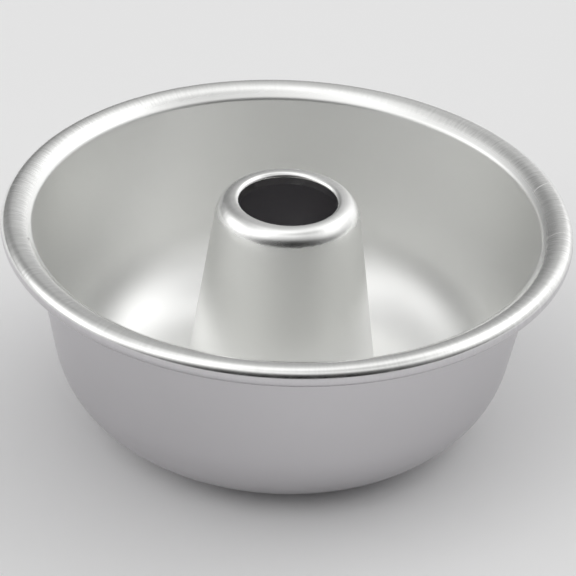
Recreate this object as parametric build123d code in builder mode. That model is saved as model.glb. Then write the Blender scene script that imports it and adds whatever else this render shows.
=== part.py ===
from build123d import *
from math import radians, tan
import os

# Angel food cake pan: a drawn bowl with a rolled rim, a tapered centre tube seamed into its floor,
# and the wire inside the rolled rim. Lengths are in millimetres and angles in degrees. The pan
# stands on z = 0, and the Z axis runs up through the middle of the tube.

# Aluminium sheet that the bowl and the tube are drawn from
sheet = 1.0

# Bowl, measured on the food side
mouth_diameter = 178.0  # where the line of the wall meets the line of the rim
rim_height = 78.7  # from the table to the top of the rolled rim
wall_lean = 10.5  # outward from upright
corner_radius = 33.5  # between the floor and the wall
corner_room_share = 0.9  # most that the corner may take of the flat floor beside it

# Rolled rim
rim_width = 11.0  # from the mouth to the outside of the roll
rim_slope = 40.0  # how steeply the rim climbs from the mouth
mouth_bend_radius = 2.0  # inside of the bend from the wall to the rim
arch_radius = 7.0  # inside of the arch from that slope to the level top
level_width = 0.2  # of the top, before the sheet goes down round the wire
wire_diameter = 5.2
wire_clearance = 0.1
curl_angle = 285.0  # how far the sheet goes round the wire

# Centre tube, measured on its outside
tube_height = 84.4  # from the table to the crest of the tube
tube_hole_diameter = 34.2
tube_lean = 7.6  # inward from upright
lip_depth = 4.2  # how far the lip goes down into the hole
lip_bend_radius = 0.85  # inside of the bend from the lip to the crest
crest_width = 0.4
shoulder_bend_radius = 5.0  # inside of the bend from the crest to the tube's side

# Seam, where the tube steps in, passes through the floor and turns out under it
seam_clearance = 0.1
ledge_width = 1.2  # how far the tube steps in above the floor
ledge_height = 1.5
foot_width = 4.0  # how far the tube's foot turns out
foot_standoff = 0.6  # from the table to the foot
foot_bend_radius = 3 * seam_clearance

# Raised ring of floor that the tube stands on
seat_margin = 1.5  # from the end of the foot to the edge of the ring
seat_slope_run = 3.0
seat_bend_radius = 0.5


def faces_of_sheet(corners, inside_radii):
    """Corners and radii of both faces of a bent sheet that lies to the right of its path."""
    path = [Vector(*corner) for corner in corners]
    steps = [(end - start).normalized() for start, end in zip(path, path[1:])]
    across = [Vector(step.Y, -step.X) * sheet for step in steps]
    near_radii = []
    far_radii = []
    far_path = [path[0] + across[0]]
    for corner, before, after, radius in zip(path[1:], across, across[1:], inside_radii):
        turns_right = before.cross(after).Z < 0
        near_radii.append(radius + sheet if turns_right else radius)
        far_radii.append(radius if turns_right else radius + sheet)
        far_path.append(corner + (before + after) / (1 + before.dot(after) / sheet**2))
    far_path.append(path[-1] + across[-1])
    return (path, near_radii), (far_path, far_radii)


# Tube from the hole's lip over the crest and down the side to the foot
tube_hole_radius = tube_hole_diameter / 2
lip_radius = lip_bend_radius + sheet
shoulder_radius = shoulder_bend_radius + sheet
shoulder_reach = shoulder_radius * tan(radians(90 - tube_lean) / 2)
tube_top_radius = tube_hole_radius + lip_radius + crest_width + shoulder_reach
seat_underside = foot_standoff + sheet + seam_clearance
seat_top = seat_underside + sheet
ledge_top = seat_top + ledge_height
ledge_radius = tube_top_radius + (tube_height - ledge_top) * tan(radians(tube_lean))
neck_radius = ledge_radius - ledge_width
foot_radius = neck_radius + foot_width
tube_corners = [
    (tube_hole_radius, tube_height - lip_depth),
    (tube_hole_radius, tube_height),
    (tube_top_radius, tube_height),
    (ledge_radius, ledge_top),
    (neck_radius, seat_top + seam_clearance),
    (neck_radius, seat_underside - seam_clearance),
    (foot_radius, seat_underside - seam_clearance),
]
tube_bends = [lip_bend_radius, shoulder_bend_radius, foot_bend_radius, foot_bend_radius, foot_bend_radius]
tube_outside, tube_inside = faces_of_sheet(tube_corners, tube_bends)

with BuildPart() as centre_tube:
    with BuildSketch(Plane.XZ) as tube_section:
        with BuildLine() as tube_outline:
            outside = FilletPolyline(*tube_outside[0], radius=tube_outside[1])
            inside = FilletPolyline(*tube_inside[0], radius=tube_inside[1])
            lip_edge = Line(outside @ 0, inside @ 0)
            foot_edge = Line(outside @ 1, inside @ 1)
        make_face()
    revolve(axis=Axis.Z)

# Bowl from the hole in its raised ring, out along the floor and up the wall to the rolled rim
floor_hole_radius = neck_radius + seam_clearance
seat_radius = foot_radius + seat_margin
mouth_radius = mouth_diameter / 2
curl_radius = wire_diameter / 2 + wire_clearance + sheet
curl_middle = mouth_radius + rim_width - curl_radius
curl_height = rim_height - curl_radius
arch_reach = (arch_radius + sheet) * tan(radians(rim_slope) / 2)
arch_corner_radius = curl_middle - level_width - arch_reach
mouth_height = rim_height - (arch_corner_radius - mouth_radius) * tan(radians(rim_slope))
wall_foot_radius = mouth_radius - (mouth_height - sheet) * tan(radians(wall_lean))
floor_inner_radius = seat_radius + seat_slope_run
corner_room = corner_room_share * (wall_foot_radius - floor_inner_radius)
corner = min(corner_radius, corner_room / tan(radians(90 - wall_lean) / 2))
bowl_corners = [
    (floor_hole_radius, seat_top),
    (seat_radius, seat_top),
    (floor_inner_radius, sheet),
    (wall_foot_radius, sheet),
    (mouth_radius, mouth_height),
    (arch_corner_radius, rim_height),
    (curl_middle, rim_height),
]
bowl_bends = [seat_bend_radius, seat_bend_radius, corner, mouth_bend_radius, arch_radius]
bowl_food_side, bowl_back = faces_of_sheet(bowl_corners, bowl_bends)

with BuildPart() as pan_shell:
    with BuildSketch(Plane.XZ) as bowl_section:
        with BuildLine() as bowl_outline:
            food_side = FilletPolyline(*bowl_food_side[0], radius=bowl_food_side[1])
            back = FilletPolyline(*bowl_back[0], radius=bowl_back[1])
            curl_outside = JernArc(food_side @ 1, food_side % 1, curl_radius, -curl_angle)
            curl_inside = JernArc(back @ 1, back % 1, curl_radius - sheet, -curl_angle)
            floor_edge = Line(food_side @ 0, back @ 0)
            curl_edge = Line(curl_outside @ 1, curl_inside @ 1)
        make_face()
    revolve(axis=Axis.Z)

# Wire that lies in the rolled rim
with BuildPart() as rim_wire:
    with BuildSketch(Plane.XZ) as wire_section:
        with Locations((curl_middle, curl_height)):
            Circle(wire_diameter / 2)
    revolve(axis=Axis.Z)

pan_shell.part.label = "pan_shell"
centre_tube.part.label = "centre_tube"
rim_wire.part.label = "rim_wire"

os.makedirs("parts", exist_ok=True)
export_step(pan_shell.part, "parts/pan_shell.step")
export_step(centre_tube.part, "parts/centre_tube.step")
export_step(rim_wire.part, "parts/rim_wire.step")
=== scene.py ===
import bpy
from math import atan2, cos, pi, radians, sin, tan
from mathutils import Matrix, Vector, noise


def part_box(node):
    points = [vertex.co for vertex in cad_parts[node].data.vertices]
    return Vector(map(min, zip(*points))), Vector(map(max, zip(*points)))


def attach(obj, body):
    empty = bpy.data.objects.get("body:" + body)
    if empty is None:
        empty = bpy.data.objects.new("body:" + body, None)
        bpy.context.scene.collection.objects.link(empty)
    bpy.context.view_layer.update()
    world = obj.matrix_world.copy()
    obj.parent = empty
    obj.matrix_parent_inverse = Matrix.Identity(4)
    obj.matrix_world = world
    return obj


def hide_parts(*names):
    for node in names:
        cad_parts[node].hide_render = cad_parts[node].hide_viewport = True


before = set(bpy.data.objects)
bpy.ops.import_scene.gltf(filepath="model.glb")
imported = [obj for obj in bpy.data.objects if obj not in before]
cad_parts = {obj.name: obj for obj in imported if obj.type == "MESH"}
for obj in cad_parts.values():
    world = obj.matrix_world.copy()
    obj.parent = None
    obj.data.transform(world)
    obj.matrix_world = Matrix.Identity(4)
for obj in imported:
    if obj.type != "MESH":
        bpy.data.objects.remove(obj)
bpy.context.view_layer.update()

# Angel food cake pan: a drawn aluminium bowl with a rolled rim, and a tapered tube seamed into its
# floor. Lengths are in metres. Azimuths are in degrees from the back, clockwise as seen from above.
mm = 0.001

# Camera of the photograph, fitted to the edges of the rim and the tube
camera_place = Vector((1.3, -899.6, 616.2)) * mm
camera_pitch = 32.3  # degrees below the horizon
camera_roll = 2.6
camera_lens = 187.5
camera_sensor = 36

# Sheet and bowl, measured on the food side
sheet = 1.0 * mm
mouth_radius = 89.0 * mm
wall_lean = radians(10.5)
corner_radius = 33.5 * mm

# Rolled rim
rim_slope = radians(40.0)
mouth_bend_radius = 2.0 * mm
arch_radius = 7.0 * mm
level_width = 0.2 * mm
curl_turn = radians(285.0)

# Centre tube, measured on its outside
hole_radius = 17.1 * mm
tube_lean = radians(7.6)
lip_depth = 4.2 * mm
lip_bend_radius = 0.85 * mm
crest_width = 0.4 * mm
shoulder_bend_radius = 5.0 * mm

# Seam of the tube in the floor
seam_clearance = 0.1 * mm
ledge_width = 1.2 * mm
ledge_height = 1.5 * mm
foot_width = 4.0 * mm
foot_bend_radius = 0.3 * mm
seat_margin = 1.5 * mm
seat_slope_run = 3.0 * mm
seat_bend_radius = 0.5 * mm

# Sizes that the frame gives
shell_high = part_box("pan_shell")[1]
tube_low, tube_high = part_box("centre_tube")
wire_low, wire_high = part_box("rim_wire")
rim_height = shell_high.z
tube_height = tube_high.z
foot_radius = tube_high.x
wire_radius = (wire_high.z - wire_low.z) / 2
curl_middle_radius = wire_high.x - wire_radius
curl_middle_height = (wire_high.z + wire_low.z) / 2
curl_radius = rim_height - curl_middle_height
shoulder_radius = shoulder_bend_radius + sheet
shoulder_foot = tube_height - shoulder_radius * (1 - sin(tube_lean))


def make_camera():
    data = bpy.data.cameras.new("camera")
    data.sensor_width = camera_sensor
    data.lens = camera_lens
    camera = bpy.data.objects.new("camera", data)
    bpy.context.scene.collection.objects.link(camera)
    tilt = Matrix.Rotation(radians(90 - camera_pitch), 4, "X")
    roll = Matrix.Rotation(radians(camera_roll), 4, "Z")
    camera.matrix_world = Matrix.Translation(camera_place) @ tilt @ roll
    bpy.context.scene.camera = camera


# Sections of the bent sheets. A sample is a point, and the direction across the sheet there.

longest_run = 2.0 * mm
bend_step = radians(5.0)
curl_step = radians(6.0)
fewest_steps = 4


def right_of(direction):
    return Vector((direction.y, -direction.x))


def turned(vector, angle):
    """A vector turned to the left."""
    x = vector.x * cos(angle) - vector.y * sin(angle)
    y = vector.x * sin(angle) + vector.y * cos(angle)
    return Vector((x, y))


def arc(start, direction, radius, angle, step):
    """Samples of an arc that turns by angle, left if it is positive. Its start is left out."""
    side = -1 if angle < 0 else 1
    middle = start - right_of(direction) * radius * side
    spoke = start - middle
    count = max(fewest_steps, round(abs(angle) / step))
    turns = [angle * k / count for k in range(1, count + 1)]
    return [(middle + turned(spoke, turn), right_of(turned(direction, turn))) for turn in turns]


def straight(start, end, direction):
    """Samples of a straight run. Its start is left out."""
    run = end - start
    count = max(1, round(run.length / longest_run))
    return [(start + run * k / count, right_of(direction)) for k in range(1, count + 1)]


def bent_sheet(corners, inside_radii):
    """Samples of a sheet that lies to the right of its path, with a bend at each inner corner."""
    path = [Vector(corner) for corner in corners]
    steps = [(end - start).normalized() for start, end in zip(path, path[1:])]
    samples = [(path[0], right_of(steps[0]))]
    for corner, before, after, inside in zip(path[1:], steps, steps[1:], inside_radii):
        angle = atan2(before.x * after.y - before.y * after.x, before.dot(after))
        radius = inside + sheet if angle < 0 else inside
        start = corner - before * radius * tan(abs(angle) / 2)
        samples += straight(samples[-1][0], start, before)
        samples += arc(start, before, radius, angle, bend_step)
    return samples + straight(samples[-1][0], path[-1], steps[-1])


def tube_section():
    """From the lip in the hole, over the crest and down the side to the foot under the floor."""
    shoulder_reach = shoulder_radius * tan((pi / 2 - tube_lean) / 2)
    top_radius = hole_radius + lip_bend_radius + sheet + crest_width + shoulder_reach
    seat_underside = tube_low.z + sheet + seam_clearance
    ledge_top = seat_underside + sheet + ledge_height
    ledge_radius = top_radius + (tube_height - ledge_top) * tan(tube_lean)
    neck_radius = foot_radius - foot_width
    foot_height = seat_underside - seam_clearance
    corners = [
        (hole_radius, tube_height - lip_depth),
        (hole_radius, tube_height),
        (top_radius, tube_height),
        (ledge_radius, ledge_top),
        (neck_radius, seat_underside + sheet + seam_clearance),
        (neck_radius, foot_height),
        (foot_radius, foot_height),
    ]
    foot_bends = [foot_bend_radius, foot_bend_radius, foot_bend_radius]
    return bent_sheet(corners, [lip_bend_radius, shoulder_bend_radius] + foot_bends)


def bowl_section():
    """From the hole in the floor out to the corner, up the wall and over the arched rim into its roll."""
    seat_top = tube_low.z + sheet + seam_clearance + sheet
    floor_hole_radius = foot_radius - foot_width + seam_clearance
    seat_radius = foot_radius + seat_margin
    arch_reach = (arch_radius + sheet) * tan(rim_slope / 2)
    arch_corner_radius = curl_middle_radius - level_width - arch_reach
    mouth_height = rim_height - (arch_corner_radius - mouth_radius) * tan(rim_slope)
    wall_foot_radius = mouth_radius - (mouth_height - sheet) * tan(wall_lean)
    corners = [
        (floor_hole_radius, seat_top),
        (seat_radius, seat_top),
        (seat_radius + seat_slope_run, sheet),
        (wall_foot_radius, sheet),
        (mouth_radius, mouth_height),
        (arch_corner_radius, rim_height),
        (curl_middle_radius, rim_height),
    ]
    bends = [seat_bend_radius, seat_bend_radius, corner_radius, mouth_bend_radius, arch_radius]
    samples = bent_sheet(corners, bends)
    return samples + arc(samples[-1][0], Vector((1.0, 0.0)), curl_radius, -curl_turn, curl_step)


# Pieces turned from their sections

segments = 360
sharp_angle = radians(40.0)


def smooth_step(value, low, high):
    """0 below low and 1 above high, smooth between them."""
    share = min(1.0, max(0.0, (value - low) / (high - low)))
    return share * share * (3 - 2 * share)


def slow_start(value, low, high):
    """0 below low and 1 above high, and between them as a spiral leaves a straight line for an arc."""
    share = min(1.0, max(0.0, (value - low) / (high - low)))
    return 4 * share**3 if share < 0.5 else 1 - 4 * (1 - share) ** 3


def wave(angle, point, around, along, seed):
    """Uneven swelling from 0 to 1, with a number of waves around and their length along the section."""
    reach = around / (2 * pi)
    place = Vector((reach * sin(angle), reach * cos(angle), (point.x + point.y) / along + seed))
    return 0.5 + 0.5 * max(-1.0, min(1.0, noise.noise(place)))


def turned_piece(name, section, painted_shade, burnish, dent):
    """A sheet turned round the Z axis.

    The first function says how far the near side of the sheet takes the darker colour of its far side, as
    painted shade; burnish how far rolling has smoothed the sheet, and dent how far a point is pushed in
    across it.
    """
    far_side = [(point + across * sheet, across) for point, across in reversed(section)]
    outline = section + far_side
    shine = [burnish(point) for point, across in section]
    attributes = {
        # The far side has the outer side's duller finish. On the near side this value is painted shade
        # under the rim's roll.
        "outer_finish_and_roll_shade": [painted_shade(point, -across) for point, across in section] + [1.0] * len(section),
        "rolled": shine + shine[::-1],
    }
    points = []
    for k in range(segments):
        angle = 2 * pi * k / segments
        for point, across in outline:
            place = point + across * dent(angle, point)
            points.append((place.x * sin(angle), place.x * cos(angle), place.y))
    size = len(outline)
    faces = []
    for k in range(segments):
        here = k * size
        there = (k + 1) % segments * size
        for i in range(size):
            j = (i + 1) % size
            faces.append((here + i, here + j, there + j, there + i))
    mesh = bpy.data.meshes.new(name)
    mesh.from_pydata(points, [], faces)
    for key, values in attributes.items():
        mesh.attributes.new(key, "FLOAT", "POINT").data.foreach_set("value", values * segments)
    mesh.shade_smooth()
    mesh.set_sharp_from_angle(angle=sharp_angle)
    piece = bpy.data.objects.new(name, mesh)
    bpy.context.scene.collection.objects.link(piece)
    return piece


# Draw waves: how deep they are, how many go around, how long they are along the section, and a seed
wall_wave_depth = 0.02 * mm
wall_waves = (14, 45.0 * mm, 3.0)
rim_wave_depth = 0.05 * mm
rim_waves = (50, 30.0 * mm, 9.0)
tube_wave_depth = 0.06 * mm
tube_waves = (16, 10.0 * mm, 5.0)

# Heights between which the waves of the wall come in and go out, and those of the tube come in
wall_waves_begin = (4.0 * mm, 30.0 * mm)
wall_waves_end = (66.0 * mm, 74.0 * mm)
tube_waves_begin = (tube_height - 14.0 * mm, tube_height - 4.0 * mm)

# Where rolling has smoothed the sheets: radii on the bowl and heights on the tube
flare = (mouth_radius, mouth_radius + 3.0 * mm)
bowl_smoothed = (mouth_radius + 0.5 * mm, mouth_radius + 3.0 * mm)
tube_smoothed = (tube_height - 9.0 * mm, tube_height - 1.0 * mm)

# Radii between which the tube's lip goes over into its shoulder
lip_edge = (hole_radius + 1.0 * mm, hole_radius + 3.0 * mm)

# How far down the roll faces, as a sine, where painted shade sets in: from there round to its end the
# roll takes the outer side's darker colour. It still faces up there.
roll_shade_facings = (-0.5, -0.2)

# How the tube's side goes over into its shoulder: on either side of the foot of that bend, and how deep
slow_reach = 3.0 * mm
slow_depth = slow_reach**2 / (6 * shoulder_radius)


def bowl_painted_shade(point, facing):
    """Painted shade: from a little above its outermost line, and on round to its end, the roll takes the
    outer side's darker colour.
    """
    return smooth_step(point.x, *flare) * smooth_step(-facing.y, *roll_shade_facings)


def tube_painted_shade(point, facing):
    """The tube's near side gets no painted shade."""
    return 0.0


def bowl_burnish(point):
    return smooth_step(point.x, *bowl_smoothed)


def tube_burnish(point):
    return smooth_step(point.y, *tube_smoothed)


def bowl_dent(angle, point):
    """Draw waves in the wall, and the shorter ones that rolling leaves in the rim."""
    wall = smooth_step(point.y, *wall_waves_begin) * (1 - smooth_step(point.y, *wall_waves_end))
    rim = smooth_step(point.x, *flare)
    wall_depth = wall * wall_wave_depth * wave(angle, point, *wall_waves)
    rim_depth = rim * rim_wave_depth * wave(angle, point, *rim_waves)
    return wall_depth + rim_depth


def tube_dent(angle, point):
    """Draw waves in the shoulder of the tube, and the slow start of its bend."""
    waves = smooth_step(point.y, *tube_waves_begin) * wave(angle, point, *tube_waves)
    slow = slow_start(point.y, shoulder_foot - slow_reach, shoulder_foot + slow_reach)
    crest = smooth_step(point.y, shoulder_foot + slow_reach, tube_height)
    slow_dent = slow * (1 - crest) * slow_depth
    return smooth_step(point.x, *lip_edge) * (slow_dent + waves * tube_wave_depth)


# Shader expressions


class Value:
    """A node's output. Python's operators on it add Math nodes."""

    def __init__(self, finish, socket):
        self.finish = finish
        self.socket = socket

    def math(self, operation, first, second):
        return self.finish.node("Math", {"operation": operation}, {0: first, 1: second})

    def __add__(self, other):
        return self.math("ADD", self, other)

    def __sub__(self, other):
        return self.math("SUBTRACT", self, other)

    def __mul__(self, other):
        return self.math("MULTIPLY", self, other)

    def __truediv__(self, other):
        return self.math("DIVIDE", self, other)

    def __radd__(self, other):
        return self.math("ADD", other, self)

    def __rsub__(self, other):
        return self.math("SUBTRACT", other, self)

    def __rmul__(self, other):
        return self.math("MULTIPLY", other, self)

    def __rtruediv__(self, other):
        return self.math("DIVIDE", other, self)

    def __rpow__(self, other):
        return self.math("POWER", other, self)

    def __abs__(self):
        return self.math("ABSOLUTE", self, 0.0)


class Finish:
    """The nodes of one material, or of the world."""

    def __init__(self, owner):
        owner.use_nodes = True
        self.owner = owner
        self.tree = owner.node_tree
        self.tree.nodes.clear()

    def node(self, kind, settings, sockets, output=0):
        """Adds a node with its settings, then the values or links of its sockets."""
        made = self.tree.nodes.new("ShaderNode" + kind)
        for name, value in settings.items():
            setattr(made, name, value)
        for name, value in sockets.items():
            if isinstance(value, Value):
                self.tree.links.new(value.socket, made.inputs[name])
            else:
                made.inputs[name].default_value = value
        return Value(self, made.outputs[output]) if made.outputs else None

    def step(self, value, low, high):
        """0 below low and 1 above high, smooth between them."""
        settings = {"interpolation_type": "SMOOTHSTEP"}
        return self.node("MapRange", settings, {"Value": value, "From Min": low, "From Max": high})

    def blend(self, share, first, second):
        """A colour between two colours."""
        return self.node("Mix", {"data_type": "RGBA"}, {"Factor": share, 6: first, 7: second}, output=2)

    def vector(self, x, y, z):
        return self.node("CombineXYZ", {}, {"X": x, "Y": y, "Z": z})

    def parts(self, vector):
        """X, Y and Z of a vector."""
        return [self.node("SeparateXYZ", {}, {"Vector": vector}, output=part) for part in "XYZ"]

    def compare(self, operation, first, second):
        """A number from two vectors, such as the distance between them."""
        return self.node("VectorMath", {"operation": operation}, {0: first, 1: second}, output="Value")

    def place(self):
        """The point itself, in metres."""
        return self.node("TexCoord", {}, {}, output="Object")

    def painted(self, key):
        """A value that the mesh carries at each point."""
        return self.node("Attribute", {"attribute_name": key}, {}, output="Fac")

    def noise(self, place, scale, detail):
        """Uneven values from 0 to 1."""
        return self.node("TexNoise", {}, {"Vector": place, "Scale": scale, "Detail": detail})

    def surface(self, sockets):
        """Links a principled shader with these sockets to the surface, and gives the material."""
        shader = self.node("BsdfPrincipled", {}, sockets)
        self.node("OutputMaterial", {}, {"Surface": shader})
        return self.owner


class Axis:
    """Where a point lies about the Z axis."""

    def __init__(self, finish):
        self.finish = finish
        self.place = finish.place()
        self.x, self.y, self.z = finish.parts(self.place)
        flat = finish.vector(self.x, self.y, 0.0)
        outward = finish.node("VectorMath", {"operation": "NORMALIZE"}, {0: flat})
        self.radius = finish.node("VectorMath", {"operation": "LENGTH"}, {0: flat}, output="Value")
        self.across, self.along = finish.parts(outward)[:2]

    def scratch(self, azimuth, slant, inner, outer):
        """1 on a scratch between two radii, which moves aside by slant for each length outward."""
        turn = radians(azimuth)
        aside = self.x * cos(turn) - self.y * sin(turn) - (self.radius - outer) * slant
        ahead = self.finish.step(self.x * sin(turn) + self.y * cos(turn), 0.0, scratch_fade)
        close = 1 - self.finish.step(abs(aside), scratch_core, scratch_width)
        begins = self.finish.step(self.radius, inner, inner + scratch_fade)
        ends = 1 - self.finish.step(self.radius, outer, outer + scratch_fade)
        return ahead * close * begins * ends

    def pit(self, azimuth, radius, height, width):
        """1 in the middle of a small pit and 0 from its width on."""
        turn = radians(azimuth)
        middle = (radius * sin(turn), radius * cos(turn), height)
        away = self.finish.compare("DISTANCE", self.place, middle)
        return 1 - self.finish.step(away, 0.0, width)


# Satin aluminium

food_side_colour = (0.94, 0.942, 0.928, 1)
# The outer side's colour is also painted on the underside of the rim's roll, as shade.
outer_side_colour = (0.62, 0.607, 0.625, 1)
satin_roughness = 0.37
rolled_roughness = 0.20

# Lines round the axis that polishing leaves. They drift a little in a turn.
lines_per_metre = 900
line_drift = 2
line_detail = 4.0
line_roughness = 0.03

# Cloudy patches in the satin
cloud_scale = 28.0
cloud_tone = 0.04
cloud_roughness = 0.04
patch_detail = 3.0

# Short streaks across the rim, where the sheet was gathered as it was rolled. They are faint at the
# front and the back.
streaks_per_metre = 150
faint_streaks = 0.2
streak_tone = 0.5
streak_relief = 0.04

# Duller and brighter blotches where the sheet is rolled
blotch_scale = 220.0
blotch_roughness = 0.25

# Scratches: azimuth, slant, radii of the ends, strength. The bowl's scratches and pits were seen in the
# photograph, and a separate program turned their places there into azimuths, radii and heights.
bowl_scratches = [
    (72.6, -0.30, 90.0 * mm, 97.0 * mm, 1.0),
    (92.7, -0.30, 90.0 * mm, 97.0 * mm, 0.7),
    (276.5, 0.10, 93.5 * mm, 98.0 * mm, 0.5),
]
tube_scratches = [(40.0, 0.40, 19.0 * mm, 22.0 * mm, 0.4)]
scratch_core = 0.05 * mm
scratch_width = 0.3 * mm
scratch_fade = 1.0 * mm
scratch_relief = 0.03
scratch_matt = 0.6

# Pits: azimuth, radius, height, width, strength
bowl_pits = [
    (255.8, 91.3 * mm, 76.9 * mm, 0.9 * mm, 1.0),
    (249.3, 97.1 * mm, 78.6 * mm, 0.4 * mm, 0.5),
    (247.3, 97.2 * mm, 78.6 * mm, 0.4 * mm, 0.5),
]
tube_pits = [(206.0, 24.5 * mm, 82.6 * mm, 0.8 * mm, 1.0)]
pit_tone = 0.5
pit_relief = 0.12

mean_noise = 0.5
relief_unit = 1.0 * mm


def aluminium(name, scratch_places, pit_places):
    """Satin sheet that is smoother where it is rolled, with its scratches and pits."""
    finish = Finish(bpy.data.materials.new(name))
    axis = Axis(finish)
    outer_finish_and_roll_shade = finish.painted("outer_finish_and_roll_shade")
    rolled = finish.painted("rolled")

    ring_x = axis.radius * lines_per_metre + axis.across * line_drift
    ring_y = axis.z * lines_per_metre + axis.along * line_drift
    lines = finish.noise(finish.vector(ring_x, ring_y, 0.0), 1.0, line_detail) - mean_noise
    clouds = finish.noise(axis.place, cloud_scale, patch_detail) - mean_noise
    streak_x = axis.across * streaks_per_metre
    streak_y = axis.along * streaks_per_metre
    streak_z = (axis.radius + axis.z) * streaks_per_metre
    streaks = finish.noise(finish.vector(streak_x, streak_y, streak_z), 1.0, patch_detail) - mean_noise
    streaks = rolled * (faint_streaks + (1 - faint_streaks) * axis.across * axis.across) * streaks
    blotches = rolled * (finish.noise(axis.place, blotch_scale, patch_detail) - mean_noise)
    scratches = sum(strength * axis.scratch(*place) for *place, strength in scratch_places)
    pits = sum(strength * axis.pit(*place) for *place, strength in pit_places)

    # The outer side's duller finish, which is also painted on the underside of the rim's roll as shade.
    tint = finish.blend(outer_finish_and_roll_shade, food_side_colour, outer_side_colour)
    tone = 1 + cloud_tone * clouds + streak_tone * streaks - pit_tone * pits
    colour = finish.node("VectorMath", {"operation": "SCALE"}, {0: tint, "Scale": tone})
    roughness = satin_roughness + rolled * (rolled_roughness - satin_roughness)
    roughness += line_roughness * (1 - rolled) * lines
    roughness += cloud_roughness * clouds + blotch_roughness * blotches
    relief = streak_relief * streaks + scratch_relief * scratches - pit_relief * pits
    bump = finish.node("Bump", {}, {"Strength": 1.0, "Distance": relief_unit, "Height": relief})
    metal = 1 - scratch_matt * scratches
    sockets = {"Base Color": colour, "Metallic": metal, "Roughness": roughness, "Normal": bump}
    return finish.surface(sockets)


# Drawn steel wire, with die marks along it

wire_dark = (0.50, 0.50, 0.51, 1)
wire_light = (0.60, 0.60, 0.61, 1)
wire_roughness = 0.3
die_mark_scale = 400.0
die_mark_detail = 3.0
die_mark_roughness = 0.15


def drawn_wire(name):
    finish = Finish(bpy.data.materials.new(name))
    marks = finish.noise(finish.place(), die_mark_scale, die_mark_detail)
    colour = finish.blend(marks, wire_dark, wire_light)
    roughness = wire_roughness + die_mark_roughness * marks
    return finish.surface({"Base Color": colour, "Metallic": 1.0, "Roughness": roughness})


# Studio: a pale board and the soft lights of a dim room

floor_reach = 5.0
board_dark = (0.94, 0.94, 0.94, 1)
board_light = (0.96, 0.96, 0.96, 1)
board_cloud_scale = 3.0
board_cloud_detail = 2.0
white = (1, 1, 1, 1)
room_level = 0.01
half_level = 0.5
light_fade = 0.1

# Lights: azimuth, elevation, width and height in degrees, and level. These numbers weren't chosen by
# hand. A separate program fitted them to the tones of the photograph, and they were rounded a little.
room_lights = [
    (275, 22, 45, 42, 1.55),  # on the left
    (235, 58, 28, 55, 0.85),  # high on the left, towards the camera
    (42, 5, 58, 45, 1.1),  # low on the right, towards the back
    (50, 48, 60, 26, 0.65),  # above that one
    (69, 40, 40, 28, 1.1),  # on the right
    (355, 79, 52, 48, 0.85),  # overhead
    (169, 57, 106, 24, 0.72),  # over the camera
]


def matt_board(name):
    """Pale board with a faint unevenness in its tone."""
    finish = Finish(bpy.data.materials.new(name))
    clouds = finish.noise(finish.place(), board_cloud_scale, board_cloud_detail)
    colour = finish.blend(clouds, board_dark, board_light)
    return finish.surface({"Base Color": colour, "Roughness": 1.0, "Specular IOR Level": 0.0})


def glow(sky, azimuth, elevation, width, height, level):
    """Light from a patch of the room, as from a soft box. Half of it is left where its width ends."""
    turn = radians(azimuth)
    rise = radians(elevation)
    middle = (sin(turn) * cos(rise), cos(turn) * cos(rise), sin(rise))
    across = (cos(turn), -sin(turn), 0.0)
    up = (-sin(turn) * sin(rise), -cos(turn) * sin(rise), cos(rise))
    facing = sky.node("TexCoord", {}, {}, output="Generated")
    aside = sky.compare("DOT_PRODUCT", facing, across) / sin(radians(width) / 2)
    above = sky.compare("DOT_PRODUCT", facing, up) / sin(radians(height) / 2)
    ahead = sky.step(sky.compare("DOT_PRODUCT", facing, middle), 0.0, light_fade)
    return level * ahead * half_level ** (aside * aside + above * above)


def soft_room(name):
    """A dim room with wide soft lights on either side, overhead and over the camera."""
    sky = Finish(bpy.data.worlds.new(name))
    strength = sum((glow(sky, *light) for light in room_lights), room_level)
    light = sky.node("Background", {}, {"Color": white, "Strength": strength})
    sky.node("OutputWorld", {}, {"Surface": light})
    return sky.owner


def make_studio():
    ends = (-floor_reach, floor_reach)
    floor_mesh = bpy.data.meshes.new("floor")
    floor_mesh.from_pydata([(x, y, 0.0) for x in ends for y in ends], [], [(0, 2, 3, 1)])
    floor = bpy.data.objects.new("floor", floor_mesh)
    bpy.context.scene.collection.objects.link(floor)
    floor.data.materials.append(matt_board("pale_board"))
    bpy.context.scene.world = soft_room("room")
    bpy.context.scene.view_settings.view_transform = "Standard"


make_camera()

bowl = turned_piece("bowl", bowl_section(), bowl_painted_shade, bowl_burnish, bowl_dent)
bowl.data.materials.append(aluminium("bowl_satin", bowl_scratches, bowl_pits))
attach(bowl, "root")
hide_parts("pan_shell")

tube = turned_piece("tube", tube_section(), tube_painted_shade, tube_burnish, tube_dent)
tube.data.materials.append(aluminium("tube_satin", tube_scratches, tube_pits))
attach(tube, "root")
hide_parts("centre_tube")

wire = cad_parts["rim_wire"]
wire.data.materials.clear()
wire.data.materials.append(drawn_wire("wire_steel"))

make_studio()
